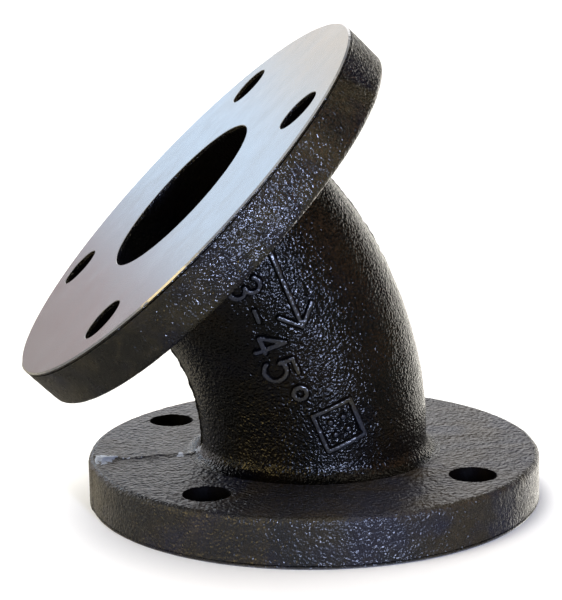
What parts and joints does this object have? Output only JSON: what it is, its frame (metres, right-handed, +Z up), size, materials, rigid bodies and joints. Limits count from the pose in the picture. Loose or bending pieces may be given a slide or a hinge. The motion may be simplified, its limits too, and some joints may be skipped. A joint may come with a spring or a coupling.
{
  "type": "flanged pipe elbow",
  "caption": "Cast-iron 45 degree pipe elbow with a drilled, faced flange at each end; turns a bolted pipeline through half a right angle.",
  "frame": {"origin": "centre of the lower flange's machined face, on the bore's axis", "axes": "+Z up the lower leg, away from the lower face; the bend leans towards -X in the XZ plane; the cast marks are on the -Y side"},
  "size_m": [0.2162, 0.1906, 0.1971],
  "materials": {
    "coated_iron": "glossy black bituminous coat over rough sand-cast iron",
    "machined_iron": "bare machined face, fine turning marks, lightly oiled"
  },
  "bodies": {
    "root": {"barrel": "coated_iron", "lower_flange": "coated_iron", "upper_flange": "coated_iron", "lower_facing": "machined_iron", "upper_facing": "machined_iron", "throat_seam": "coated_iron", "crown_seam": "coated_iron", "size_mark": "coated_iron", "angle_mark": "coated_iron", "flow_arrow": "coated_iron", "lot_mark": "coated_iron"}
  },
  "joints": []
}
